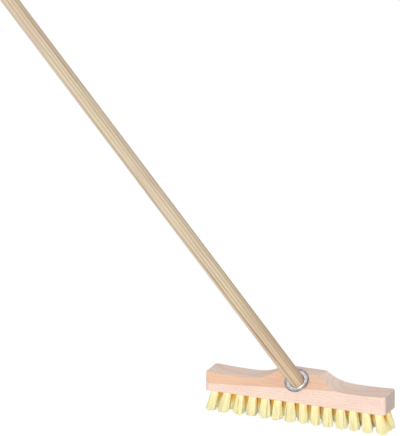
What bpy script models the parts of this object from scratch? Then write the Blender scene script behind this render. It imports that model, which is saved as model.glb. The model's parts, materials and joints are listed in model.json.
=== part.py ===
"""Long-handled scrub brush: a shaped beech block with three rows of tufts, a pressed steel socket
in its slanted face, and a round wooden handle with a tapered end pushed into that socket.

Metres, +Z up. The brush stands on its bristles, with their tips in the plane Z = 0. The block runs
along X, and its slanted face and the handle point towards -Y. The origin is the tip of the middle
bristle, under the centre of the block.
"""

from math import cos, pi, radians, sin, tan

import bmesh
import bpy
from mathutils import Matrix, Vector

# Block. Heights are measured from its underside.
BLOCK_LENGTH = 0.300
BLOCK_WIDTH = 0.046
HUMP_HEIGHT = 0.0435
HUMP_HALF_LENGTH = 0.035
WAIST_HEIGHT = 0.028
WAIST_DISTANCE = 0.092
END_HEIGHT = 0.030
CORNER_RADIUS = 0.007
SCOOP_POWER = 2.8
SCOOP_STEPS = 10
END_STEPS = 3
CORNER_STEPS = 4

# Slanted face. Its lower edge, the crease, climbs from the left end to the right.
CREASE_HEIGHT = 0.0235
crease_climb_share = 0.08
FACE_SLOPE = radians(46)
FACE_END_SLOPE = radians(76)
FACE_TURN_START = 0.050
FACE_TURN_STEPS = 8

# Tufts. The margins run from the block's ends and long sides to the tufts nearest to them.
BRISTLE_LENGTH = 0.035
END_MARGIN = 0.0148
ROW_MARGIN = 0.010
OUTER_ROW_COUNT = 14
MIDDLE_ROW_COUNT = 13
ROOT_RADIUS = 0.0056
ROOT_RECESS = 0.0005
HOLE_DEPTH = 0.010
TUFT_SIDES = 10
STRAND_RADIUS = 0.0013
STRAND_SIDES = 3
STRAND_ROOT_LENGTH = 0.001
INNER_STRANDS = 3
OUTER_STRANDS = 7
inner_ring_share = 0.34
outer_ring_share = 0.73
tip_spread_share = 1.5
strand_tip_share = 1.12
TIP_DOME = 0.0018
TRIM_DEPTH = 0.0005
END_LEAN = radians(12)
MIDDLE_END_LEAN = radians(27)
ROW_LEAN = radians(4)
LEAN_POWER = 2

# Wire anchor across each tuft's root
ANCHOR_LENGTH = 0.0134
ANCHOR_HEIGHT = 0.0022
ANCHOR_THICKNESS = 0.0006
ANCHOR_LIFT = 0.0015

# Socket: a flange with a rolled rim, a shallow dish and a tapered sleeve
FLANGE_RADIUS = 0.0198
RIM_RADIUS = 0.0012
SHEET_THICKNESS = 0.0009
SLEEVE_DEPTH = 0.0175
SOCKET_SEGMENTS = 32
RIM_STEPS = 8
rim_start_share = 0.75
rim_turn_share = 1.25
lip_height_share = 1.2
dish_edge_share = 1.5

# Handle. Its length is measured from its lower end.
HANDLE_LENGTH = 1.400
HANDLE_RADIUS = 0.01175
HANDLE_TOP_RADIUS = 0.0114
TAPER_DEPTH = 0.021
TAPER_END_RADIUS = 0.0086
TAPER_START = 0.002
END_CHAMFER = 0.001
TOP_ROUNDING = 0.007
HANDLE_SEGMENTS = 28
HANDLE_BAYS = 6
TOP_STEPS = 4

# Gap between pieces that touch, and overrun of the cutters
FIT_GAP = 0.0003
OVERRUN = 0.006
MERGE_DISTANCE = 1e-6

# Worked out from the sizes above
TUFT_PITCH = (BLOCK_LENGTH - 2 * END_MARGIN) / (OUTER_ROW_COUNT - 1)
ROW_SPACING = BLOCK_WIDTH / 2 - ROW_MARGIN
STRAND_START = -ROOT_RECESS - STRAND_ROOT_LENGTH
ANCHOR_LOW = -HOLE_DEPTH + ANCHOR_LIFT

COLLECTION_NAME = "long_handled_scrub_brush"
CUTTER_COLLECTION_NAME = "cutters"
BLOCK_CUTS_NAME = "block_cuts"


def clear_scene():
    for obj in list(bpy.data.objects):
        bpy.data.objects.remove(obj, do_unlink=True)


def new_collection(name, parent):
    collection = bpy.data.collections.new(name)
    parent.children.link(collection)
    return collection


def material(name, color, roughness, metallic=0.0):
    made = bpy.data.materials.new(name)
    made.use_nodes = True
    shader = made.node_tree.nodes["Principled BSDF"]
    shader.inputs["Base Color"].default_value = (*color, 1.0)
    shader.inputs["Roughness"].default_value = roughness
    shader.inputs["Metallic"].default_value = metallic
    made.diffuse_color = (*color, 1.0)
    return made


def add_object(name, mesh, collection, finish=None):
    obj = bpy.data.objects.new(name, mesh)
    collection.objects.link(obj)
    if finish:
        mesh.materials.append(finish)
    return obj


def add_cutter(name, mesh, collection):
    obj = add_object(name, mesh, collection)
    obj.hide_render = True
    obj.display_type = "WIRE"
    return obj


def mesh_from(name, bm):
    bmesh.ops.recalc_face_normals(bm, faces=bm.faces[:])
    mesh = bpy.data.meshes.new(name)
    bm.to_mesh(mesh)
    bm.free()
    return mesh


def add_boolean(obj, operation):
    modifier = obj.modifiers.new(operation.title(), "BOOLEAN")
    modifier.operation = operation
    modifier.solver = "EXACT"
    return modifier


def smooth(mesh, angle=radians(35)):
    mesh.shade_smooth()
    mesh.set_sharp_from_angle(angle=angle)


def turned(name, profile, segments, collection, closed=False):
    """A mesh object whose profile of (radius, height) points is turned about its own Z axis."""
    mesh = bpy.data.meshes.new(name)
    points = [(radius, 0.0, height) for radius, height in profile]
    edges = [(i, i + 1) for i in range(len(points) - 1)]
    if closed:
        edges.append((len(points) - 1, 0))
    mesh.from_pydata(points, edges, [])
    obj = bpy.data.objects.new(name, mesh)
    collection.objects.link(obj)
    screw = obj.modifiers.new("Turn", "SCREW")
    screw.steps = segments
    screw.render_steps = segments
    screw.use_merge_vertices = True
    screw.merge_threshold = MERGE_DISTANCE
    screw.use_smooth_shade = True
    return obj


def top_height(distance):
    """Height of the block's top at this distance from the middle, above its underside."""
    if distance >= WAIST_DISTANCE:
        along = (distance - WAIST_DISTANCE) / (BLOCK_LENGTH / 2 - WAIST_DISTANCE)
        return WAIST_HEIGHT + (END_HEIGHT - WAIST_HEIGHT) * along**2
    along = (WAIST_DISTANCE - distance) / (WAIST_DISTANCE - HUMP_HALF_LENGTH)
    return WAIST_HEIGHT + (HUMP_HEIGHT - WAIST_HEIGHT) * along**SCOOP_POWER


def block_outline():
    """The block seen from the front, as (x, height) points from the lower left corner."""
    half = BLOCK_LENGTH / 2
    scoop = WAIST_DISTANCE - HUMP_HALF_LENGTH
    distances = [half + (WAIST_DISTANCE - half) * i / END_STEPS for i in range(END_STEPS)]
    distances += [WAIST_DISTANCE - scoop * i / SCOOP_STEPS for i in range(SCOOP_STEPS + 1)]
    right = [(distance, top_height(distance)) for distance in distances]
    left = [(-distance, height) for distance, height in reversed(right)]
    return [(-half, 0.0), (half, 0.0)] + right + left


def outline_mesh(name, points, thickness, collection):
    """A flat outline in XZ, thickened both ways along Y and made a mesh with welded caps."""
    curve = bpy.data.curves.new(name, "CURVE")
    curve.dimensions = "2D"
    curve.fill_mode = "BOTH"
    curve.extrude = thickness / 2
    spline = curve.splines.new("POLY")
    spline.points.add(len(points) - 1)
    for point, (x, z) in zip(spline.points, points):
        point.co = (x, z, 0.0, 1.0)
    spline.use_cyclic_u = True
    guide = bpy.data.objects.new(name + "_outline", curve)
    collection.objects.link(guide)
    guide.matrix_world = Matrix.Rotation(pi / 2, 4, "X")
    bpy.context.view_layer.update()
    graph = bpy.context.evaluated_depsgraph_get()
    mesh = bpy.data.meshes.new_from_object(guide.evaluated_get(graph))
    mesh.transform(guide.matrix_world)
    bpy.data.objects.remove(guide, do_unlink=True)
    bm = bmesh.new()
    bm.from_mesh(mesh)
    bpy.data.meshes.remove(mesh)
    bmesh.ops.remove_doubles(bm, verts=bm.verts[:], dist=MERGE_DISTANCE)
    return bm


def crease_height(x):
    return CREASE_HEIGHT + crease_climb_share * x


def face_slope(x):
    """The slanted face is flat round the socket and turns steeper towards the left end."""
    turned_part = (-x - FACE_TURN_START) / (BLOCK_LENGTH / 2 - FACE_TURN_START)
    turned_part = min(1.0, max(0.0, turned_part))
    return FACE_SLOPE + (FACE_END_SLOPE - FACE_SLOPE) * turned_part**2 * (3 - 2 * turned_part)


def face_cutter(collection):
    """What is cut away before the slanted face: sections lofted along the block."""
    half = BLOCK_LENGTH / 2
    turn_length = half - FACE_TURN_START
    stations = [-half - OVERRUN]
    stations += [-half + turn_length * i / FACE_TURN_STEPS for i in range(FACE_TURN_STEPS + 1)]
    stations.append(half + OVERRUN)
    front = -BLOCK_WIDTH / 2
    high = HUMP_HEIGHT + OVERRUN
    bm = bmesh.new()
    rings = []
    for x in stations:
        low = crease_height(x)
        back = front + (high - low) / tan(face_slope(x))
        section = ((front, low), (back, high), (front - OVERRUN, high), (front - OVERRUN, low))
        rings.append([bm.verts.new((x, y, z + BRISTLE_LENGTH)) for y, z in section])
    for ring, following in zip(rings, rings[1:]):
        for i in range(len(ring)):
            after = (i + 1) % len(ring)
            bm.faces.new((ring[i], ring[after], following[after], following[i]))
    bm.faces.new(rings[0])
    bm.faces.new(rings[-1])
    bmesh.ops.triangulate(bm, faces=bm.faces[:])
    add_cutter("face_cutter", mesh_from("face_cutter", bm), collection)


def handle_frame():
    """Place and turn of the socket's mouth: Z points up along the handle, square to the face."""
    slope = tan(FACE_SLOPE)
    axis = Vector((-crease_climb_share, -slope, 1.0)).normalized()
    rise = (HUMP_HEIGHT - CREASE_HEIGHT) / 2
    mouth = Vector((0.0, -BLOCK_WIDTH / 2 + rise / slope, BRISTLE_LENGTH + CREASE_HEIGHT + rise))
    return Matrix.Translation(mouth) @ axis.to_track_quat("Z", "Y").to_matrix().to_4x4()


def taper_radius(depth):
    """Radius of the handle's tapered end at this depth below the mouth."""
    along = (depth + TAPER_START) / (TAPER_DEPTH + TAPER_START)
    return HANDLE_RADIUS + (TAPER_END_RADIUS - HANDLE_RADIUS) * along


def row_places():
    """Every tuft as (name, x, y, sideways lean, lean of its row)."""
    rows = (
        ("front", OUTER_ROW_COUNT, -ROW_SPACING, END_LEAN, -ROW_LEAN),
        ("middle", MIDDLE_ROW_COUNT, 0.0, MIDDLE_END_LEAN, 0.0),
        ("back", OUTER_ROW_COUNT, ROW_SPACING, END_LEAN, ROW_LEAN),
    )
    for row, count, y, end_lean, row_lean in rows:
        last = TUFT_PITCH * (count - 1) / 2
        for i in range(count):
            x = TUFT_PITCH * i - last
            share = x / last
            lean = end_lean * abs(share) ** LEAN_POWER * (1 if x > 0 else -1)
            yield f"tuft_{row}_{i + 1:02d}", x, y, lean, row_lean


def tuft_frame(x, y, lean, row_lean):
    """Place and turn of a tuft's mouth, with Z down its axis, and the centre of its tip."""
    mouth = Vector((x, y, BRISTLE_LENGTH))
    tip = Vector((x + BRISTLE_LENGTH * tan(lean), y + BRISTLE_LENGTH * tan(row_lean), 0.0))
    turn = (tip - mouth).to_track_quat("Z", "Y").to_matrix().to_4x4()
    return Matrix.Translation(mouth) @ turn, tip


def add_cylinder(bm, frame, radius, start, end, sides):
    """A closed cylinder along the frame's Z axis, from start to end."""
    middle = Matrix.Translation((0.0, 0.0, (start + end) / 2))
    bmesh.ops.create_cone(
        bm, cap_ends=True, segments=sides, radius1=radius, radius2=radius,
        depth=abs(end - start), matrix=frame @ middle,
    )


def add_box(bm, frame, length, thickness, low, high):
    """A closed box across the frame's Z axis, between two heights on it."""
    size = Matrix.Diagonal((length, thickness, high - low, 1.0))
    bmesh.ops.create_cube(
        bm, size=1.0, matrix=frame @ Matrix.Translation((0.0, 0.0, (low + high) / 2)) @ size,
    )


def strand_rings():
    """The bristles of a tuft as (share of the root's radius, angle)."""
    rings = [(0.0, pi / INNER_STRANDS)]
    rings += [(inner_ring_share, 2 * pi * i / INNER_STRANDS) for i in range(INNER_STRANDS)]
    rings += [(outer_ring_share, 2 * pi * i / OUTER_STRANDS) for i in range(OUTER_STRANDS)]
    return rings


def add_strand(bm, frame, tip, share, angle):
    """A three-sided bristle from inside the root to the floor. The middle ones run past it."""
    reach = ROOT_RADIUS * share
    start = frame @ Vector((reach * cos(angle), reach * sin(angle), STRAND_START))
    side = frame.to_3x3() @ Vector((cos(angle), sin(angle), 0.0))
    height = TIP_DOME * (share / outer_ring_share) ** 2 - TRIM_DEPTH
    target = Vector((tip.x, tip.y, 0.0)) + Vector((side.x, side.y, 0.0)) * reach * tip_spread_share
    end = start + (target - start) * ((start.z - height) / start.z)
    along = (end - start).normalized()
    outward = (side - along * side.dot(along)).normalized()
    turn = Matrix((outward.cross(along), outward, along)).transposed().to_4x4()
    bmesh.ops.create_cone(
        bm, cap_ends=True, segments=STRAND_SIDES, radius1=STRAND_RADIUS,
        radius2=STRAND_RADIUS * strand_tip_share, depth=(end - start).length,
        matrix=Matrix.Translation((start + end) / 2) @ turn,
    )


def tuft(name, place, parts, cutters, finish):
    """A root that fills its hole, with bristles and the wire anchor joined to it."""
    frame, tip = tuft_frame(*place)
    bm = bmesh.new()
    for share, angle in strand_rings():
        add_strand(bm, frame, tip, share, angle)
    everything = bm.verts[:] + bm.edges[:] + bm.faces[:]
    bmesh.ops.bisect_plane(
        bm, geom=everything, dist=MERGE_DISTANCE, plane_co=(0.0, 0.0, 0.0),
        plane_no=(0.0, 0.0, -1.0), clear_outer=True,
    )
    bmesh.ops.holes_fill(bm, edges=[edge for edge in bm.edges if edge.is_boundary])
    add_box(bm, frame, ANCHOR_LENGTH, ANCHOR_THICKNESS, ANCHOR_LOW, ANCHOR_LOW + ANCHOR_HEIGHT)
    filling = add_cutter(name + "_filling", mesh_from(name + "_filling", bm), cutters)

    bm = bmesh.new()
    add_cylinder(bm, Matrix(), ROOT_RADIUS, FIT_GAP - HOLE_DEPTH, -ROOT_RECESS, TUFT_SIDES)
    root = add_object(name, mesh_from(name, bm), parts, finish)
    root.matrix_world = frame
    add_boolean(root, "UNION").object = filling


def tuft_cutters(cuts):
    """All the tuft holes as one cutter, and the notches of their anchors as another."""
    drills = bmesh.new()
    notches = bmesh.new()
    for _, *place in row_places():
        frame, _ = tuft_frame(*place)
        add_cylinder(drills, frame, ROOT_RADIUS + FIT_GAP, -HOLE_DEPTH, OVERRUN, TUFT_SIDES)
        add_box(
            notches, frame, ANCHOR_LENGTH + 2 * FIT_GAP, ANCHOR_THICKNESS + 2 * FIT_GAP,
            ANCHOR_LOW - FIT_GAP, ANCHOR_LOW + ANCHOR_HEIGHT + FIT_GAP,
        )
    add_cutter("tuft_drills", mesh_from("tuft_drills", drills), cuts)
    add_cutter("anchor_notches", mesh_from("anchor_notches", notches), cuts)


def block(parts, cutters, finish):
    """The shaped beech block: outline and rounded corners, with all that is cut from it cut at once."""
    bm = outline_mesh("block", block_outline(), BLOCK_WIDTH, cutters)
    bmesh.ops.translate(bm, vec=(0.0, 0.0, BRISTLE_LENGTH), verts=bm.verts[:])
    half = BLOCK_LENGTH / 2 - MERGE_DISTANCE
    corners = [edge for edge in bm.edges if min(abs(v.co.x) for v in edge.verts) > half]
    corners = [edge for edge in corners if edge.verts[0].co.y * edge.verts[1].co.y > 0]
    bmesh.ops.bevel(
        bm, geom=corners, offset=CORNER_RADIUS, segments=CORNER_STEPS, profile=0.5, affect="EDGES",
    )
    body = add_object("block", mesh_from("block", bm), parts, finish)
    smooth(body.data)

    cuts = new_collection(BLOCK_CUTS_NAME, cutters)
    face_cutter(cuts)
    tuft_cutters(cuts)
    bore_end = SLEEVE_DEPTH + FIT_GAP
    stick_end = TAPER_DEPTH + FIT_GAP
    wall = SHEET_THICKNESS + 2 * FIT_GAP
    profile = (
        (0.0, OVERRUN),
        (taper_radius(0.0) + wall, OVERRUN),
        (taper_radius(0.0) + wall, 0.0),
        (taper_radius(bore_end) + wall, -bore_end),
        (taper_radius(bore_end) + FIT_GAP, -bore_end),
        (taper_radius(stick_end) + FIT_GAP, -stick_end),
        (0.0, -stick_end),
    )
    bore = turned("socket_bore", profile, SOCKET_SEGMENTS, cuts)
    bore.hide_render = True
    bore.display_type = "WIRE"
    bore.matrix_world = handle_frame()
    cut = add_boolean(body, "DIFFERENCE")
    cut.operand_type = "COLLECTION"
    cut.collection = cuts


def socket(parts, finish):
    """The pressed steel collar: rolled rim, dish, and a sleeve that lines the bore."""
    seat = FIT_GAP
    rim_centre = (FLANGE_RADIUS - RIM_RADIUS, seat + RIM_RADIUS)
    rim = []
    for i in range(RIM_STEPS + 1):
        turn = pi * (rim_start_share - rim_turn_share * i / RIM_STEPS)
        rim.append((rim_centre[0] + RIM_RADIUS * cos(turn), rim_centre[1] + RIM_RADIUS * sin(turn)))
    inner = taper_radius(0.0) + FIT_GAP
    outer = inner + SHEET_THICKNESS
    profile = rim + [
        (outer, seat),
        (taper_radius(SLEEVE_DEPTH) + FIT_GAP + SHEET_THICKNESS, -SLEEVE_DEPTH),
        (taper_radius(SLEEVE_DEPTH) + FIT_GAP, -SLEEVE_DEPTH),
        (inner, 0.0),
        (inner + SHEET_THICKNESS / 2, seat + SHEET_THICKNESS * lip_height_share),
        (outer + SHEET_THICKNESS, seat + SHEET_THICKNESS),
        (rim_centre[0] - RIM_RADIUS * dish_edge_share, seat + SHEET_THICKNESS),
    ]
    collar = turned("handle_socket", profile, SOCKET_SEGMENTS, parts, closed=True)
    collar.matrix_world = handle_frame()
    collar.data.materials.append(finish)


def handle(parts, finish):
    """The round stick: rounded top, long body with a slight taper, and a tapered lower end."""
    top = HANDLE_LENGTH - TAPER_DEPTH
    profile = [(0.0, top)]
    for i in range(TOP_STEPS + 1):
        turn = pi / 2 * (1 - i / TOP_STEPS)
        radius = HANDLE_TOP_RADIUS - TOP_ROUNDING * (1 - cos(turn))
        profile.append((radius, top - TOP_ROUNDING * (1 - sin(turn))))
    for i in range(1, HANDLE_BAYS + 1):
        along = i / HANDLE_BAYS
        height = (top - TOP_ROUNDING) * (1 - along) + TAPER_START * along
        profile.append((HANDLE_TOP_RADIUS + (HANDLE_RADIUS - HANDLE_TOP_RADIUS) * along, height))
    chamfer_depth = TAPER_DEPTH - END_CHAMFER
    profile.append((taper_radius(chamfer_depth), -chamfer_depth))
    profile.append((taper_radius(TAPER_DEPTH) - END_CHAMFER, -TAPER_DEPTH))
    profile.append((0.0, -TAPER_DEPTH))
    stick = turned("handle", profile, HANDLE_SEGMENTS, parts)
    stick.matrix_world = handle_frame()
    stick.data.materials.append(finish)


def main():
    clear_scene()
    scene = bpy.context.scene.collection
    parts = new_collection(COLLECTION_NAME, scene)
    cutters = new_collection(CUTTER_COLLECTION_NAME, scene)
    block(parts, cutters, material("beech", (0.80, 0.58, 0.42), 0.55))
    socket(parts, material("pressed_steel", (0.62, 0.63, 0.64), 0.25, 1.0))
    handle(parts, material("stick_wood", (0.68, 0.55, 0.36), 0.50))
    for name, *place in row_places():
        finish = material("bristle_" + name, (0.90, 0.78, 0.30), 0.40)
        tuft(name, place, parts, cutters, finish)


main()
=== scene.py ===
import json
from math import atan2, cos, pi, radians, sin, sqrt, tan

import bmesh
import bpy
import numpy as np
from mathutils import Matrix, Vector


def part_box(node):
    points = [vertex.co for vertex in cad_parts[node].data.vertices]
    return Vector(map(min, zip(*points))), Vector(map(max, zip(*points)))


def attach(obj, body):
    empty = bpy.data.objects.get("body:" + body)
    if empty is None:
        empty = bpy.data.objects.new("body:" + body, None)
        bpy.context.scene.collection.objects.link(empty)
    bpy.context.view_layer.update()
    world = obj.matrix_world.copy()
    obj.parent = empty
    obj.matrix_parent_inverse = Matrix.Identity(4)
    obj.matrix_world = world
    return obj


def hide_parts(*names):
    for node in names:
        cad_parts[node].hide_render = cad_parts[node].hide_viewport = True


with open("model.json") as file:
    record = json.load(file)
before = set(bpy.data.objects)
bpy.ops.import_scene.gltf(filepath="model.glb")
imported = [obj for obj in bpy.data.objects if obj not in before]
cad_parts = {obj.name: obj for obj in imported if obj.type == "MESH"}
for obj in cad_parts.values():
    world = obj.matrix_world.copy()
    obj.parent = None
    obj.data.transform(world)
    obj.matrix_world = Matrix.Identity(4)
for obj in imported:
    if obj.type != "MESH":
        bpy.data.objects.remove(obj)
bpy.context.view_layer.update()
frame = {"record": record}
scene = bpy.context.scene

# The camera
# It looks down on the brush from its right front, from so far off that the picture has nearly no
# perspective. The socket's mouth is placed in the picture, and the stick runs out at the top left.
stick_end = next(mount for mount in frame["record"]["mounts"] if mount["name"] == "handle_top")
stick_axis = Vector(stick_end["axis"]).normalized()
stick_length = 1.400
taper_depth = 0.021
mouth = Vector(stick_end["pos_m"]) - stick_axis * (stick_length - taper_depth)

view_azimuth = radians(23)
view_elevation = radians(19.4)
view_distance = 22.0
pixels_per_metre = 650
picture_width, picture_height = 400, 436
mouth_pixel = (297.0, 380.8)


def towards(azimuth, elevation):
    """Direction from the brush to a camera or a lamp at these angles."""
    return Vector((sin(azimuth) * cos(elevation), -cos(azimuth) * cos(elevation), sin(elevation)))


towards_camera = towards(view_azimuth, view_elevation)
picture_right = Vector((cos(view_azimuth), sin(view_azimuth), 0))
picture_up = towards_camera.cross(picture_right)
target = mouth - picture_right * (mouth_pixel[0] - picture_width / 2) / pixels_per_metre
target += picture_up * (mouth_pixel[1] - picture_height / 2) / pixels_per_metre

lens = bpy.data.cameras.new("camera")
lens.lens = lens.sensor_width * view_distance * pixels_per_metre / picture_height
lens.clip_end = 2 * view_distance
camera = bpy.data.objects.new("camera", lens)
camera.location = target + towards_camera * view_distance
camera.rotation_euler = towards_camera.to_track_quat("Z", "Y").to_euler()
scene.collection.objects.link(camera)
scene.camera = camera

# The block
# One piece of beech, milled on its top to a hump with a scoop at either side, and cut to a slant in
# front for the stick. It is sanded and left raw, with blind holes drilled in its underside.
block_low, block_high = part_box("block")
block_length = block_high[0] - block_low[0]
block_width = block_high[1] - block_low[1]
underside = block_low[2]
hump_height = block_high[2] - block_low[2]
half_length = block_length / 2
hump_half_length = 0.035
waist_height = 0.028
waist_distance = 0.092
end_height = 0.030
scoop_power = 2.8
crease_height = 0.0235
crease_climb = 0.08
face_slope = radians(46)
face_end_slope = radians(76)
face_turn_start = 0.050
corner_radius = 0.007
end_radius = 0.0012
edge_rounding = 0.0022
top_rounding = 0.0012
crease_rounding = 0.0005
section_middle = (0.004, 0.012)
side_points = (18, 14, 18, 14, 14)
station_count = 98
closest_stations = 5e-5
corner_steps, end_steps = 8, 5
hump_edge_offsets = (-0.0016, -0.0008, -0.0004, 0.0, 0.0004, 0.0008, 0.0016)
tuft_pitch = 0.0208
row_spacing = 0.013
tuft_rows = (
    ("front", 14, -row_spacing, radians(12), radians(-4)),
    ("middle", 13, 0.0, radians(27), 0.0),
    ("back", 14, row_spacing, radians(12), radians(4)),
)
tuft_hole_radius = 0.0059
tuft_hole_depth = 0.004
tuft_hole_overrun = 0.003
tuft_hole_sides = 24
bore_radius = 0.01295
bore_depth = 0.0215
bore_overrun = 0.010
bore_sides = 64
sharp_edge = radians(38)
tiny = 1e-6


def round_min(a, b, rounding):
    """The smaller of two lengths, with the change from one to the other rounded off."""
    if abs(a - b) >= rounding:
        return min(a, b)
    near = (rounding - abs(a - b)) / rounding
    return min(a, b) - near * near * rounding / 4


def top_height(x):
    """Height of the block's top above its underside."""
    distance = abs(x)
    if distance >= waist_distance:
        along = (distance - waist_distance) / (half_length - waist_distance)
        return waist_height + (end_height - waist_height) * along**2
    along = (waist_distance - distance) / (waist_distance - hump_half_length)
    scoop = waist_height + (hump_height - waist_height) * along**scoop_power
    return round_min(scoop, hump_height, top_rounding)


def slope_at(x):
    """The slanted face is flat round the socket and turns steeper towards the left end."""
    turned = (-x - face_turn_start) / (half_length - face_turn_start)
    turned = min(1.0, max(0.0, turned))
    return face_slope + (face_end_slope - face_slope) * turned**2 * (3 - 2 * turned)


def block_section(x):
    """The block's cross-section at x, as (y, height) points whose number and order never change."""
    centre_y, centre_z = section_middle
    to_end = half_length - abs(x)
    into_corner = max(0.0, corner_radius - to_end)
    half_width = block_width / 2 - corner_radius + sqrt(corner_radius**2 - into_corner**2)
    into_end = max(0.0, end_radius - to_end)
    inset = end_radius - sqrt(end_radius**2 - into_end**2)
    top = top_height(x) - inset
    slope = slope_at(x)
    crease = crease_height + crease_climb * x
    # Each side of the section is a line: its outward direction, and its distance from the origin.
    front = (-1, 0, half_width)
    back = (1, 0, half_width)
    bottom = (0, -1, -inset)
    above = (0, 1, top)
    slant = (-sin(slope), cos(slope), sin(slope) * block_width / 2 + cos(slope) * crease - inset)

    def reach(line, angle):
        across, up, distance = line
        facing = across * cos(angle) + up * sin(angle)
        if facing < tiny:
            return 1.0
        return (distance - across * centre_y - up * centre_z) / facing

    def corner(y, z):
        return atan2(z - centre_z, y - centre_y) % (2 * pi)

    crease_z = crease + (block_width / 2 - half_width) * tan(slope)
    slant_end_y = -block_width / 2 + (top - crease) / tan(slope)
    least = radians(2.5)
    upper = corner(max(slant_end_y, -half_width), top)
    lower = corner(-half_width, min(crease_z, top))
    if lower - upper < 2 * least:
        upper, lower = (upper + lower) / 2 - least, (upper + lower) / 2 + least
    angles = [
        corner(-half_width, inset), corner(half_width, inset), corner(half_width, top) + 2 * pi,
        upper + 2 * pi, lower + 2 * pi, corner(-half_width, inset) + 2 * pi,
    ]
    points = []
    for start, end, count in zip(angles, angles[1:], side_points):
        for i in range(count):
            angle = start + (end - start) * (1 - cos(pi * i / count)) / 2
            length = round_min(reach(front, angle), reach(slant, angle), crease_rounding)
            length = round_min(length, reach(above, angle), top_rounding)
            length = round_min(length, reach(back, angle), edge_rounding)
            length = round_min(length, reach(bottom, angle), edge_rounding)
            points.append((centre_y + length * cos(angle), centre_z + length * sin(angle)))
    return points


def block_stations():
    """Places along the block for its cross-sections, closer where the shape turns."""
    stations = set(np.linspace(-half_length + corner_radius, half_length - corner_radius, station_count))
    for end in (-1, 1):
        for radius, steps in ((corner_radius, corner_steps), (end_radius, end_steps)):
            for i in range(1, steps + 1):
                stations.add(end * (half_length - radius + radius * sin(pi / 2 * i / steps)))
        for offset in hump_edge_offsets:
            stations.add(end * (hump_half_length + offset))
    ordered = sorted(stations)
    kept = ordered[:1]
    for station in ordered[1:]:
        if station - kept[-1] > closest_stations:
            kept.append(station)
    return kept


def row_places():
    """Every tuft as its row, the middle of its mouth and the middle of its tip."""
    for row, count, y, end_lean, row_lean in tuft_rows:
        last = tuft_pitch * (count - 1) / 2
        for i in range(count):
            x = tuft_pitch * i - last
            lean = end_lean * (x / last) * abs(x / last)
            tip = Vector((x + underside * tan(lean), y + underside * tan(row_lean), 0.0))
            yield row, Vector((x, y, underside)), tip


def drill(bm, place, direction, radius, depth, overrun, sides):
    """Adds a cutter for a round hole that starts before place and goes in along direction."""
    middle = place + direction * (depth - overrun) / 2
    turn = direction.to_track_quat("Z", "Y").to_matrix().to_4x4()
    bmesh.ops.create_cone(
        bm, cap_ends=True, segments=sides, radius1=radius, radius2=radius, depth=depth + overrun,
        matrix=Matrix.Translation(middle) @ turn,
    )


def new_object(name, mesh):
    made = bpy.data.objects.new(name, mesh)
    scene.collection.objects.link(made)
    return made


def mesh_of(name, bm):
    bmesh.ops.recalc_face_normals(bm, faces=bm.faces[:])
    mesh = bpy.data.meshes.new(name)
    bm.to_mesh(mesh)
    bm.free()
    return mesh


def plain_mesh(obj, name):
    """The object's evaluated mesh under a new name, in place of the object."""
    graph = bpy.context.evaluated_depsgraph_get()
    mesh = bpy.data.meshes.new_from_object(obj.evaluated_get(graph))
    bpy.data.objects.remove(obj)
    mesh.name = name
    return mesh


bm = bmesh.new()
rings = []
for station in block_stations():
    rings.append([bm.verts.new((station, y, underside + z)) for y, z in block_section(station)])
for ring, following in zip(rings, rings[1:]):
    for i in range(len(ring)):
        after = (i + 1) % len(ring)
        bm.faces.new((ring[i], ring[after], following[after], following[i]))
bm.faces.new(rings[0])
bm.faces.new(rings[-1])
blank = new_object("blank", mesh_of("blank", bm))

bm = bmesh.new()
for row, place, tip in row_places():
    inwards = (place - tip).normalized()
    drill(bm, place, inwards, tuft_hole_radius, tuft_hole_depth, tuft_hole_overrun, tuft_hole_sides)
drills = new_object("drills", mesh_of("drills", bm))
bm = bmesh.new()
drill(bm, mouth, -stick_axis, bore_radius, bore_depth, bore_overrun, bore_sides)
bore = new_object("bore", mesh_of("bore", bm))
for cutter in (drills, bore):
    cut = blank.modifiers.new(cutter.name, "BOOLEAN")
    cut.object = cutter
    cut.operation = "DIFFERENCE"
    cut.solver = "EXACT"
block = new_object("block_wood", plain_mesh(blank, "block_wood"))
for cutter in (drills, bore):
    bpy.data.objects.remove(cutter)
block.data.shade_smooth()
block.data.set_sharp_from_angle(angle=sharp_edge)

# The slanted face was milled last and shows fresher, more orange wood: the mesh marks it.
face_tolerance = 0.00025
places = np.empty(len(block.data.vertices) * 3)
block.data.vertices.foreach_get("co", places)
places = places.reshape(-1, 3)
slopes = np.array([slope_at(x) for x in places[:, 0]])
over_crease = places[:, 2] - underside - crease_height - crease_climb * places[:, 0]
behind_front = places[:, 1] + block_width / 2
off_face = np.abs(np.sin(slopes) * behind_front - np.cos(slopes) * over_crease)
slanted = (off_face < face_tolerance) & (over_crease > 0)
mark = block.data.attributes.new("slanted", "FLOAT", "POINT")
mark.data.foreach_set("value", slanted.astype(np.float32))


class Socket:
    """One output of a node. Arithmetic on it adds Math nodes to its tree."""

    def __init__(self, tree, output):
        self.tree = tree
        self.output = output

    def math(self, operation, *others):
        return node(self.tree, "ShaderNodeMath", {"operation": operation}, (self, *others))

    def __add__(self, other):
        return self.math("ADD", other)

    def __radd__(self, other):
        return self.math("ADD", other)

    def __sub__(self, other):
        return self.math("SUBTRACT", other)

    def __rsub__(self, other):
        return node(self.tree, "ShaderNodeMath", {"operation": "SUBTRACT"}, (other, self))

    def __mul__(self, other):
        return self.math("MULTIPLY", other)

    def __rmul__(self, other):
        return self.math("MULTIPLY", other)

    def __truediv__(self, other):
        return self.math("DIVIDE", other)

    def __pow__(self, other):
        return self.math("POWER", other)


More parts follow.
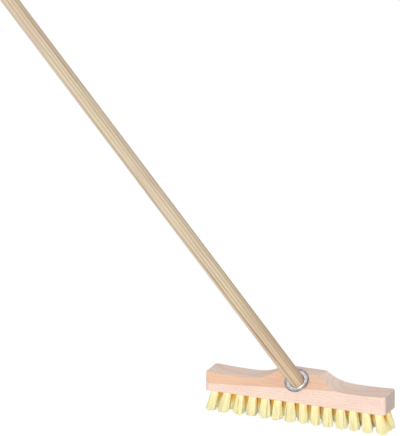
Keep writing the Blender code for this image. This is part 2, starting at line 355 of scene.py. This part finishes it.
def node(tree, kind, settings=None, inputs=(), output=0):
    """Adds a node, with its settings first and then its inputs by order, number or name."""
    made = tree.nodes.new(kind)
    for name, value in (settings or {}).items():
        setattr(made, name, value)
    for key, value in (inputs.items() if isinstance(inputs, dict) else enumerate(inputs)):
        if isinstance(value, Socket):
            tree.links.new(value.output, made.inputs[key])
        elif value is not None:
            made.inputs[key].default_value = value
    return Socket(tree, made.outputs[output])


def rgb(red, green, blue):
    """A colour written as it looks on a screen, from 0 to 255, as the renderer's linear colour."""
    shares = [value / 255 for value in (red, green, blue)]
    linear = [v / 12.92 if v < 0.0404 else ((v + 0.055) / 1.055) ** 2.4 for v in shares]
    return (*linear, 1.0)


def mix(tree, amount, first, second):
    """The second colour laid over the first by this amount."""
    return node(tree, "ShaderNodeMix", {"data_type": "RGBA"}, {0: amount, 6: first, 7: second}, 2)


def split(tree, vector):
    """The x, y and z of a vector."""
    parts = node(tree, "ShaderNodeSeparateXYZ", {}, (vector,)).output.node
    return [Socket(tree, output) for output in parts.outputs]


def stretched_noise(tree, place, stretch, detail=2.0, roughness=0.5):
    """Noise whose cells are 1/stretch metres long on each axis."""
    mapped = node(tree, "ShaderNodeMapping", {}, {0: place, 3: stretch})
    return node(
        tree, "ShaderNodeTexNoise", {},
        {"Vector": mapped, "Scale": 1.0, "Detail": detail, "Roughness": roughness},
    )


def between(tree, value, low, high):
    """0 below low, 1 above high, and smooth between."""
    return node(
        tree, "ShaderNodeMapRange", {"interpolation_type": "SMOOTHSTEP"}, {0: value, 1: low, 2: high},
    )


def new_material(name):
    """An empty material: its tree, its shader node and the object coordinates in it."""
    material = bpy.data.materials.new(name)
    material.use_nodes = True
    tree = material.node_tree
    shader = tree.nodes["Principled BSDF"]
    place = node(tree, "ShaderNodeTexCoord", output=3)
    return material, tree, shader, place


def feed(shader, name, value):
    """Sets one of the shader's sockets, or links what varies to it."""
    if isinstance(value, Socket):
        value.tree.links.new(value.output, shader.inputs[name])
    else:
        shader.inputs[name].default_value = value


pink_beech, cream_beech = rgb(248, 219, 205), rgb(250, 227, 209)
orange_beech, pale_orange_beech = rgb(243, 197, 168), rgb(248, 210, 180)
dull_orange_beech = rgb(228, 174, 140)
late_wood_brown, fibre_brown, ray_brown = rgb(226, 182, 156), rgb(214, 170, 142), rgb(190, 138, 106)
end_grain_and_shade_grey, pore_brown = rgb(200, 185, 176), rgb(160, 136, 118)
pith_y, pith_z = 0.018, -0.062
ring_width = 0.0042
end_grain_depth = 0.0008
bump_depth = 0.00015

beech, tree, shader, place = new_material("beech")
x, y, z = split(tree, place)
waviness = stretched_noise(tree, place, (5, 28, 28)) - 0.5
ring_distance = ((y - pith_y) ** 2.0 + (z - pith_z) ** 2.0).math("SQRT") + waviness * 0.006
late_wood = (ring_distance * (2 * pi / ring_width)).math("SINE").math("MAXIMUM", 0.0) ** 3.0
fibre = stretched_noise(tree, place, (45, 1500, 1500), 3.0, 0.6)
rays = between(tree, stretched_noise(tree, place, (210, 1250, 1250), 1.0), 0.60, 0.70)
patches = between(tree, stretched_noise(tree, place, (14, 45, 45), 2.0), 0.35, 0.65)
end_grain = between(tree, x.math("ABSOLUTE"), half_length - end_grain_depth, half_length - 0.0001)
is_slanted = node(tree, "ShaderNodeAttribute", {"attribute_name": "slanted"}, output=2)
color = mix(tree, patches, pink_beech, cream_beech)
fresh = mix(tree, patches, orange_beech, pale_orange_beech)
towards_left = between(tree, x, 0.02, -half_length)
fresh = mix(tree, towards_left * 0.4, fresh, dull_orange_beech)
color = mix(tree, is_slanted, color, fresh)
color = mix(tree, late_wood * 0.30, color, late_wood_brown)
color = mix(tree, (fibre - 0.42).math("MAXIMUM", 0.0) * 0.55, color, fibre_brown)
color = mix(tree, rays * 0.28, color, ray_brown)
# The end faces are greyer end grain, darkened further as painted shade.
color = mix(tree, end_grain * 0.75, color, end_grain_and_shade_grey)
pores = between(tree, stretched_noise(tree, place, (1500, 1500, 1500), 1.0), 0.56, 0.66)
color = mix(tree, end_grain * (late_wood * 0.35 + pores * 0.3), color, pore_brown)
feed(shader, "Base Color", color)
feed(shader, "Roughness", 0.52 + fibre * 0.16)
grain_height = fibre * 0.6 - rays * 0.5 - late_wood * 0.3
feed(shader, "Normal", node(
    tree, "ShaderNodeBump", {}, {"Strength": 0.35, "Distance": bump_depth, "Height": grain_height},
))
block.data.materials.clear()
block.data.materials.append(beech)
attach(block, "head")
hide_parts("block")

# The socket
# A collar pressed from zinc-plated sheet steel: a tapered sleeve in the block's bore, a raised lip
# round the stick, a shallow dish and a rolled rim. It is driven into the bore and lies on the slant.
flange_radius = 0.0198
rim_radius = 0.0012
lip_radius = 0.0013
dish = ((0.0168, 0.00075), (0.0158, 0.00078), (0.0148, 0.00095))
sheet = 0.0009
sleeve_depth = 0.0175
shoulder_depth = 0.0012
shoulder_width = 0.0006
lip_lift = 0.0004
seat = 0.0003
collar_sides = 112
collar_edge = radians(50)
stick_radius = 0.01175
taper_end_radius = 0.0086
taper_start = 0.002


def taper_radius(depth):
    """Radius of the stick's tapered end at this depth below the mouth."""
    along = (depth + taper_start) / (taper_depth + taper_start)
    return stick_radius + (taper_end_radius - stick_radius) * along


def arc(middle, radius, start, end, steps):
    """Points of a profile along an arc, with its angles in degrees."""
    turns = [radians(start + (end - start) * i / steps) for i in range(steps + 1)]
    return [(middle[0] + radius * cos(turn), middle[1] + radius * sin(turn)) for turn in turns]


def lathe(name, profile, segments, closed):
    """A profile of (radius, height) turned about the stick's axis, with its height from the mouth."""
    turn = stick_axis.to_track_quat("Z", "Y").to_matrix().to_4x4()
    place = Matrix.Translation(mouth) @ turn
    bm = bmesh.new()
    rings = []
    for radius, height in profile:
        if radius < tiny:
            rings.append([bm.verts.new(place @ Vector((0, 0, height)))] * segments)
            continue
        angles = [2 * pi * i / segments for i in range(segments)]
        corners = [Vector((radius * cos(angle), radius * sin(angle), height)) for angle in angles]
        rings.append([bm.verts.new(place @ corner) for corner in corners])
    pairs = list(zip(rings, rings[1:])) + ([(rings[-1], rings[0])] if closed else [])
    for ring, following in pairs:
        for i in range(segments):
            after = (i + 1) % segments
            corners = [ring[i], ring[after], following[after], following[i]]
            # A pole is one vertex that fills its ring, so its faces have three corners.
            bm.faces.new(list(dict.fromkeys(corners)))
    return mesh_of(name, bm)


inner = taper_radius(0.0) + seat
rim_middle = (flange_radius - rim_radius, seat + rim_radius)
lip_middle = (inner + lip_radius, seat + lip_lift)
profile = [(taper_radius(sleeve_depth) + seat + sheet, -sleeve_depth)]
profile += [(inner + sheet, -shoulder_depth), (inner + sheet + shoulder_width, seat)]
profile += arc(rim_middle, rim_radius, 270, 450, 14) + arc(rim_middle, rim_radius, 90, 205, 9)[1:]
profile += [(radius, seat + height) for radius, height in dish]
profile += arc(lip_middle, lip_radius, 55, 180, 10)
profile += [(taper_radius(sleeve_depth) + seat, -sleeve_depth)]
socket = new_object("socket_collar", lathe("socket_collar", profile, collar_sides, True))
socket.data.shade_smooth()
socket.data.set_sharp_from_angle(angle=collar_edge)


def along_stick(tree, place):
    """The place measured from the mouth, with z along the stick."""
    turn = stick_axis.to_track_quat("Z", "Y").to_euler()
    return node(tree, "ShaderNodeMapping", {"vector_type": "TEXTURE"}, {0: place, 1: mouth, 2: turn})


dull_zinc, bright_zinc = rgb(182, 188, 196), rgb(214, 216, 220)
painted_lip_highlight, painted_rim_shade = rgb(246, 240, 234), rgb(112, 100, 98)

zinc, tree, shader, place = new_material("zinc_plate")
x, y, _ = split(tree, along_stick(tree, place))
from_axis = (x ** 2.0 + y ** 2.0).math("SQRT")
spangle = stretched_noise(tree, place, (260, 260, 260), 1.0)
smudges = stretched_noise(tree, place, (90, 90, 90), 2.0)
color = mix(tree, between(tree, spangle, 0.35, 0.65), dull_zinc, bright_zinc)
# Painted highlight: the lip round the stick is lightened to near white.
on_lip = 1.0 - between(tree, from_axis, 0.0134, 0.0142)
color = mix(tree, on_lip * 0.7, color, painted_lip_highlight)
# Painted shade: the rolled rim is darkened, more where the smudge noise is high.
on_rim = between(tree, from_axis, 0.0180, 0.0188)
color = mix(tree, on_rim * (0.60 + smudges * 0.4), color, painted_rim_shade)
feed(shader, "Base Color", color)
feed(shader, "Metallic", 1.0)
feed(shader, "Roughness", 0.24 + smudges * 0.12)
socket.data.materials.append(zinc)
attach(socket, "head")
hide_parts("handle_socket")

# The stick
# A straight-grained softwood rod, turned round and sanded, 1.4 m long. Its lower end is tapered and
# pushed into the socket, where friction holds it, and its top is rounded off.
stick_top_radius = 0.0114
top_rounding_radius = 0.007
top_steps = 10
length_steps = 24
end_chamfer = 0.001
stick_sides = 72
stick_top = stick_length - taper_depth
profile = [(0.0, stick_top)]
for i in range(top_steps + 1):
    turn = pi / 2 * (1 - i / top_steps)
    radius = stick_top_radius - top_rounding_radius * (1 - cos(turn))
    profile.append((radius, stick_top - top_rounding_radius * (1 - sin(turn))))
for i in range(1, length_steps + 1):
    along = i / length_steps
    height = (stick_top - top_rounding_radius) * (1 - along) + taper_start * along
    profile.append((stick_top_radius + (stick_radius - stick_top_radius) * along, height))
profile.append((taper_radius(taper_depth - end_chamfer), end_chamfer - taper_depth))
profile.append((taper_radius(taper_depth) - end_chamfer, -taper_depth))
profile.append((0.0, -taper_depth))
stick = new_object("stick_wood", lathe("stick_wood", profile, stick_sides, False))
stick.data.shade_smooth()
stick.data.set_sharp_from_angle(angle=sharp_edge)

pale_softwood, yellow_softwood, tan_softwood = rgb(248, 228, 205), rgb(239, 224, 190), rgb(214, 176, 130)
painted_shade_brown, ring_brown, fibre_tan = rgb(188, 162, 125), rgb(176, 142, 100), rgb(198, 168, 130)
streak_pink, line_brown = rgb(204, 150, 124), rgb(142, 108, 76)
darker_length = 0.5
pith_x, pith_y = 0.030, 0.038
ring_width = 0.0046

stick_grain, tree, shader, place = new_material("stick_wood")
on_stick = along_stick(tree, place)
x, y, z = split(tree, on_stick)
drift = stretched_noise(tree, on_stick, (30, 30, 2.2), 2.0) - 0.5
ring_distance = ((x - pith_x + z * 0.003) ** 2.0 + (y - pith_y) ** 2.0).math("SQRT")
rings_passed = ring_distance / ring_width + drift * 0.9
wave = (rings_passed * (2 * pi)).math("SINE") * 0.5 + 0.5
ring_place = node(tree, "ShaderNodeCombineXYZ", {}, (rings_passed, 0.0, z * 1.4))
ring_strength = between(tree, stretched_noise(tree, ring_place, (1.1, 1.0, 1.0), 1.0), 0.38, 0.62)
late_wood = wave ** 4.0 * (0.45 + ring_strength * 0.55)
fibre = stretched_noise(tree, on_stick, (900, 900, 9), 3.0, 0.65)
streaks = between(tree, stretched_noise(tree, on_stick, (250, 250, 2.6), 2.0), 0.50, 0.66)
lines = between(tree, stretched_noise(tree, on_stick, (480, 480, 4.5), 2.0), 0.55, 0.65)
tint = between(tree, stretched_noise(tree, on_stick, (190, 190, 2.0), 2.0), 0.40, 0.60)
near_socket = 1.0 - between(tree, z, 0.0, darker_length)
color = mix(tree, tint, pale_softwood, yellow_softwood)
color = mix(tree, near_socket * 0.21, color, tan_softwood)
# Painted shade: the stick's right side, as the camera sees it, is browned, more near the socket.
across = x * 0.62 + y * 0.78
painted_side_shade = between(tree, across, 0.002, 0.0105)
color = mix(tree, painted_side_shade * (0.30 + near_socket * 0.50), color, painted_shade_brown)
color = mix(tree, late_wood * 0.66, color, ring_brown)
color = mix(tree, streaks * (0.26 + near_socket * 0.14), color, streak_pink)
color = mix(tree, lines * (0.34 + near_socket * 0.18), color, line_brown)
color = mix(tree, (fibre - 0.40).math("MAXIMUM", 0.0) * 0.9, color, fibre_tan)
feed(shader, "Base Color", color)
feed(shader, "Roughness", 0.50 + fibre * 0.2)
grain_height = fibre - late_wood * 0.3
feed(shader, "Normal", node(
    tree, "ShaderNodeBump", {}, {"Strength": 0.4, "Distance": bump_depth, "Height": grain_height},
))
stick.data.materials.append(stick_grain)
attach(stick, "stick")
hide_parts("handle")

# The tufts
# Stiff pale yellow bristles, folded in bundles over a wire and pulled into the holes in three rows.
# They spread a little towards the floor, and the outer tufts lean out. Deep in, amber is painted shade.
pale_bristle, white_bristle = rgb(255, 245, 180), rgb(255, 251, 206)
shaded_bristle, painted_shade_amber = rgb(255, 232, 132), rgb(249, 192, 50)
outer_rows = (0.0105, 0.0165)
outer_tufts = (0.134, 0.140)
golden_turn = 137.508
tuft_turn = 1.7
fullness = 0.38
clumps, clump_gather = 5.0, 0.45
tuft_spreads = (0.88, 1.12)
tuft_sway_x, tuft_sway_y = 0.0012, 0.0008
clump_sway_x, clump_sway_y = 0.0017, 0.0010
clump_shortness, bristle_shortness = 0.0036, 0.0024
stray_x_reach, stray_y_reach, scatter = 0.0026, 0.0018, 0.0005
bow, bow_scatter = 0.0003, 0.0006
own_normal_share = 0.30
tuft_normal_share = 0.35
row_normal_share = 0.60
outer_side_fade = 0.3
row_side_start, row_side_fade = 0.1, 0.4

bristle_paint, tree, shader, place = new_material("bristle")
tone = node(tree, "ShaderNodeAttribute", {"attribute_name": "tone"}, output=2)
along = node(tree, "ShaderNodeAttribute", {"attribute_name": "along"}, output=2)
inside = node(tree, "ShaderNodeAttribute", {"attribute_name": "inside"}, output=2)
# Painted shade: bristles inside the tufts are a warmer yellow, and amber towards their roots.
amber_shade_depth = inside * (1.0 - between(tree, along, 0.34, 0.82))
color = mix(tree, tone, pale_bristle, white_bristle)
color = mix(tree, inside * (0.6 - between(tree, along, 0.45, 0.95) * 0.35), color, shaded_bristle)
color = mix(tree, amber_shade_depth * 0.95, color, painted_shade_amber)
feed(shader, "Base Color", color)
feed(shader, "Roughness", 0.38 + tone * 0.15)
feed(shader, "Specular IOR Level", 0.9)
feed(shader, "Sheen Weight", 0.8)
feed(shader, "Sheen Roughness", 0.4)


def soften_normals(mesh):
    """Turns the normals on a bristle's outer side to its side of the tuft, and most to the front or
    the back, so that a tuft shades as one soft body."""
    count = len(mesh.vertices)
    own, outward = np.empty(count * 3, np.float32), np.empty(count * 3, np.float32)
    mesh.vertices.foreach_get("normal", own)
    mesh.attributes["outward"].data.foreach_get("vector", outward)
    own, outward = own.reshape(-1, 3), outward.reshape(-1, 3)
    outer = (own * outward).sum(axis=1) / np.linalg.norm(outward, axis=1)
    outer = np.clip((outer + outer_side_fade) / (2 * outer_side_fade), 0, 1)
    to_side = np.clip((np.abs(outward[:, 1]) - row_side_start) / row_side_fade, 0, 1)
    soft = own * own_normal_share + outward * (outer * tuft_normal_share)[:, None]
    soft[:, 1] += np.sign(outward[:, 1]) * to_side * outer * row_normal_share
    soft /= np.linalg.norm(soft, axis=1)[:, None]
    mesh.normals_split_custom_set_from_vertices([tuple(normal) for normal in soft.tolist()])
    mesh.attributes.remove(mesh.attributes["outward"])


def bristle_tree():
    """A tree that turns each point of a mesh, with its tip in an attribute, into a tuft."""
    tree = bpy.data.node_groups.new("bristles", "GeometryNodeTree")
    inputs = (
        ("Tuft places", "NodeSocketGeometry", None), ("Bristles", "NodeSocketInt", 290),
        ("Root radius", "NodeSocketFloat", 0.0059), ("Tip radius", "NodeSocketFloat", 0.0070),
        ("Bristle radius", "NodeSocketFloat", 0.0004), ("Tip dome", "NodeSocketFloat", 0.0018),
        ("Root depth", "NodeSocketFloat", 0.002), ("Seed", "NodeSocketInt", 1),
        ("Material", "NodeSocketMaterial", None),
    )
    for name, kind, value in inputs:
        made = tree.interface.new_socket(name, in_out="INPUT", socket_type=kind)
        if value is not None:
            made.default_value = value
    tree.interface.new_socket("Geometry", in_out="OUTPUT", socket_type="NodeSocketGeometry")
    given = tree.nodes.new("NodeGroupInput")
    value = {name: Socket(tree, given.outputs[name]) for name, _, _ in inputs}

    def vector(*parts):
        return node(tree, "ShaderNodeCombineXYZ", {}, parts)

    def vector_math(operation, *parts, output=0):
        return node(tree, "ShaderNodeVectorMath", {"operation": operation}, parts, output)

    def scaled(part, factor):
        return node(tree, "ShaderNodeVectorMath", {"operation": "SCALE"}, {0: part, "Scale": factor})

    def random(low, high, number, group=None):
        """A random value for each bristle, or one that all bristles of a group share."""
        return node(
            tree, "FunctionNodeRandomValue", {"data_type": "FLOAT"},
            {2: low, 3: high, 7: group, 8: value["Seed"] * 10 + number}, 1,
        )

    def sampled(part, number):
        return node(
            tree, "GeometryNodeSampleIndex", {"data_type": "FLOAT_VECTOR", "domain": "POINT"},
            {0: value["Tuft places"], 1: part, 2: number},
        )

    def stored(geometry, name, part, kind="FLOAT"):
        return node(
            tree, "GeometryNodeStoreNamedAttribute", {"data_type": kind, "domain": "POINT"},
            {0: geometry, 2: name, 3: part},
        )

    # Each bristle's number says which tuft it belongs to and where in it.
    index = node(tree, "GeometryNodeInputIndex")
    tufts = node(tree, "GeometryNodeAttributeDomainSize", {"component": "MESH"}, (value["Tuft places"],))
    tuft = (index / value["Bristles"] + 0.0001).math("FLOOR")
    number = index - tuft * value["Bristles"]
    mouth_place = sampled(node(tree, "GeometryNodeInputPosition"), tuft)
    tip_name = node(
        tree, "GeometryNodeInputNamedAttribute", {"data_type": "FLOAT_VECTOR"}, ("tip",),
    )
    tip_place = sampled(tip_name, tuft)
    share = ((number + 0.5) / value["Bristles"]) ** fullness
    angle = number * radians(golden_turn) + tuft * tuft_turn
    sector = (number * (golden_turn / 360)).math("FRACT") * clumps
    clump = tuft * clumps + sector.math("FLOOR")
    tip_angle = angle - (sector.math("FRACT") - 0.5) * (clump_gather * 2 * pi / clumps)
    side_x, side_y = angle.math("COSINE") * share, angle.math("SINE") * share
    tip_x, tip_y = tip_angle.math("COSINE") * share, tip_angle.math("SINE") * share

    # It runs from its root in the hole to a tip that strays with its tuft, its clump and by itself.
    stray = random(-1.0, 1.0, 1)
    stray_x = stray * stray * stray * stray_x_reach + random(-scatter, scatter, 2)
    stray_y = random(-1.0, 1.0, 3) ** 3.0 * stray_y_reach
    root = vector_math("ADD", mouth_place, vector(
        side_x * value["Root radius"], side_y * value["Root radius"], value["Root depth"],
    ))
    spread = value["Tip radius"] * random(*tuft_spreads, 101, tuft)
    tuft_x = random(-tuft_sway_x, tuft_sway_x, 102, tuft)
    tuft_y = random(-tuft_sway_y, tuft_sway_y, 103, tuft)
    clump_x = random(-clump_sway_x, clump_sway_x, 104, clump)
    clump_y = random(-clump_sway_y, clump_sway_y, 105, clump)
    clump_height = random(0.0, clump_shortness, 106, clump)
    bristle_height = random(0.0, bristle_shortness, 4)
    tip_height = share**4.0 * value["Tip dome"] + clump_height * share + bristle_height
    end = vector_math("ADD", tip_place, vector(
        tip_x * spread + stray_x + tuft_x + clump_x * share,
        tip_y * spread + stray_y + tuft_y + clump_y * share,
        tip_height + value["Bristle radius"] * 0.5,
    ))
    reach = vector_math("SUBTRACT", end, root)
    length = vector_math("LENGTH", reach, output=1)
    bend = vector(
        side_x * bow + random(-bow_scatter, bow_scatter, 5),
        side_y * bow + random(-bow_scatter, bow_scatter, 6), 0.0,
    )
    points = node(tree, "GeometryNodePoints", {}, (tufts * value["Bristles"], root))
    points = stored(points, "bend", bend, "FLOAT_VECTOR")
    points = stored(points, "tone", random(0.0, 1.0, 7))
    points = stored(points, "outward", vector(side_x, side_y, 0.0), "FLOAT_VECTOR")

    # It counts as inside between the rows, in the middle of its tuft and beside the next one: there the
    # material paints shade.
    root_x, root_y, _ = split(tree, root)
    from_side = between(tree, root_y.math("ABSOLUTE"), *outer_rows)
    from_end = between(tree, root_x.math("ABSOLUTE"), *outer_tufts)
    beside = between(tree, side_x.math("ABSOLUTE"), 0.70, 1.0) * 0.5
    core = (1.0 - between(tree, share, 0.60, 0.92)) * 0.7
    inside = ((1.0 - from_side) * (1.0 - from_end)).math("MAXIMUM", beside)
    points = stored(points, "inside", inside.math("MAXIMUM", core))

    # One thin rod is set on every root, turned to its tip, stretched to its length and bowed.
    rod = node(
        tree, "GeometryNodeMeshCylinder", {"fill_type": "NGON"},
        {"Vertices": 5, "Side Segments": 3, "Radius": value["Bristle radius"], "Depth": 1.0},
    )
    rod = node(tree, "GeometryNodeTransform", {}, {"Geometry": rod, "Translation": (0, 0, 0.5)})
    _, _, height = split(tree, node(tree, "GeometryNodeInputPosition"))
    rod = stored(rod, "along", height)
    turn = node(
        tree, "FunctionNodeAlignRotationToVector", {"axis": "Z"}, {"Vector": reach},
    )
    bristles = node(
        tree, "GeometryNodeInstanceOnPoints", {},
        {"Points": points, "Instance": rod, "Rotation": turn, "Scale": vector(1.0, 1.0, length)},
    )
    bristles = node(tree, "GeometryNodeRealizeInstances", {}, (bristles,))
    along = node(tree, "GeometryNodeInputNamedAttribute", {"data_type": "FLOAT"}, ("along",))
    bent = node(tree, "GeometryNodeInputNamedAttribute", {"data_type": "FLOAT_VECTOR"}, ("bend",))
    bristles = node(
        tree, "GeometryNodeSetPosition", {},
        {"Geometry": bristles, "Offset": scaled(bent, along * (1.0 - along) * 4.0)},
    )
    bristles = node(
        tree, "GeometryNodeSetMaterial", {}, {"Geometry": bristles, "Material": value["Material"]},
    )
    result = tree.nodes.new("NodeGroupOutput")
    tree.links.new(bristles.output, result.inputs[0])
    return tree


bristle_maker = bristle_tree()
for seed, row_name in enumerate(("front", "middle", "back"), start=1):
    mouths = [(place, tip) for row, place, tip in row_places() if row == row_name]
    mesh = bpy.data.meshes.new("mouths")
    mesh.from_pydata([place for place, tip in mouths], [], [])
    tips = mesh.attributes.new("tip", "FLOAT_VECTOR", "POINT")
    for entry, (place, tip) in zip(tips.data, mouths):
        entry.vector = tip
    tufts = new_object("mouths", mesh)
    maker = tufts.modifiers.new("bristles", "NODES")
    maker.node_group = bristle_maker
    for entry in bristle_maker.interface.items_tree:
        if entry.name == "Seed":
            maker[entry.identifier] = seed
        if entry.name == "Material":
            maker[entry.identifier] = bristle_paint
    tufts = new_object(f"tufts_{row_name}", plain_mesh(tufts, f"tufts_{row_name}"))
    tufts.data.shade_smooth()
    soften_normals(tufts.data)
    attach(tufts, "head")
    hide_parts(*[f"tuft_{row_name}_{i + 1:02d}" for i in range(len(mouths))])

# The floor and the light
# A plain white sweep under soft light from the front. The camera and the metal see it as white, and
# everything else gets only the light that a pale floor gives back.
floor_half_width = 6.0
seen_white_share = 0.90
white_strength = 1.06
ambient = 0.44
lamps = (("key", 20, 16, 1.77, 16), ("back_fill", 165, 35, 0.45, 60))


def seen(tree):
    """1 for what the camera sees here, itself or through a reflection or glass, and 0 for its light."""
    path = node(tree, "ShaderNodeLightPath")
    mirrored = Socket(tree, path.output.node.outputs["Is Glossy Ray"])
    through_glass = Socket(tree, path.output.node.outputs["Is Transmission Ray"])
    return path.math("MAXIMUM", mirrored).math("MAXIMUM", through_glass)


bm = bmesh.new()
bmesh.ops.create_grid(bm, x_segments=1, y_segments=1, size=floor_half_width)
floor = new_object("floor", mesh_of("floor", bm))
floor_paint, tree, shader, place = new_material("floor")
feed(shader, "Base Color", (0.90, 0.90, 0.90, 1.0))
feed(shader, "Roughness", 0.9)
white = node(tree, "ShaderNodeEmission", {}, {"Color": (1, 1, 1, 1), "Strength": white_strength})
painted = Socket(tree, shader.outputs[0])
shown = node(tree, "ShaderNodeMixShader", {}, (seen(tree) * seen_white_share, painted, white))
tree.links.new(shown.output, tree.nodes["Material Output"].inputs["Surface"])
floor.data.materials.append(floor_paint)

world = bpy.data.worlds.new("studio")
world.use_nodes = True
scene.world = world
tree = world.node_tree
background = tree.nodes["Background"]
tree.links.new((ambient + seen(tree) * (1.0 - ambient)).output, background.inputs["Strength"])
background.inputs["Color"].default_value = (1, 1, 1, 1)

for name, azimuth, elevation, strength, spread in lamps:
    lamp = bpy.data.lights.new(name, "SUN")
    lamp.energy = strength
    lamp.angle = radians(spread)
    lamp_object = bpy.data.objects.new(name, lamp)
    towards_lamp = towards(radians(azimuth), radians(elevation))
    lamp_object.rotation_euler = towards_lamp.to_track_quat("Z", "Y").to_euler()
    scene.collection.objects.link(lamp_object)
scene.view_settings.view_transform = "Standard"
